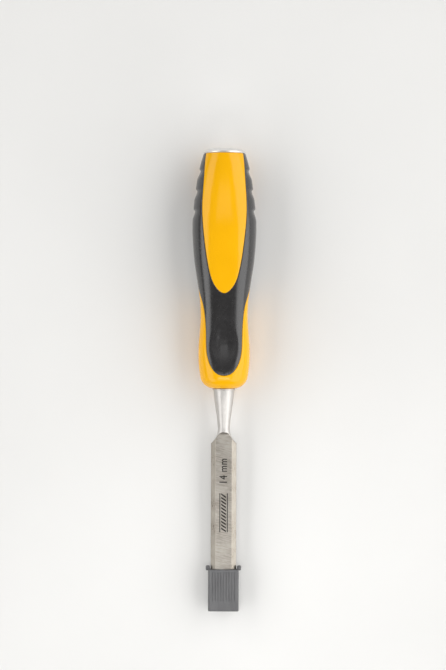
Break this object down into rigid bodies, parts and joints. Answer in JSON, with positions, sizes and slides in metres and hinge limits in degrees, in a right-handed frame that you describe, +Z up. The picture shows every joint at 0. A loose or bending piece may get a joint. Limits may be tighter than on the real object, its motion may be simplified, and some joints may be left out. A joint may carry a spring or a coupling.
{
  "type": "bench chisel",
  "caption": "Bevel-edge bench chisel with a two-colour struck handle, a steel strike cap and a pull-off blade guard.",
  "frame": {"origin": "on the bench, under the middle of the tool's box", "axes": "+Y from the cutting edge towards the strike cap, +Z up, out of the blade's bevelled front face; the tool's own axis rises 2.13 degrees towards +Y, as it lies on the handle's belly and on the swell at its blade end"},
  "size_m": [0.0352, 0.2544, 0.0314],
  "materials": {
    "blade_steel": "fine cross brushed, polished neck",
    "core_plastic": "gloss moulded yellow",
    "grip_rubber": "satin soft-touch black",
    "cap_steel": "turned, bright",
    "guard_plastic": "fine matt grey"
  },
  "bodies": {
    "chisel": {"blade": "blade_steel", "handle_core": "core_plastic", "soft_grip": "grip_rubber", "strike_cap": "cap_steel"},
    "guard": {"blade_guard": "guard_plastic"}
  },
  "joints": [
    {"name": "guard_slide", "type": "slide", "parent": "chisel", "child": "guard", "axis": [0, -0.9993, -0.0372], "range_m": [0, 0.035]}
  ]
}
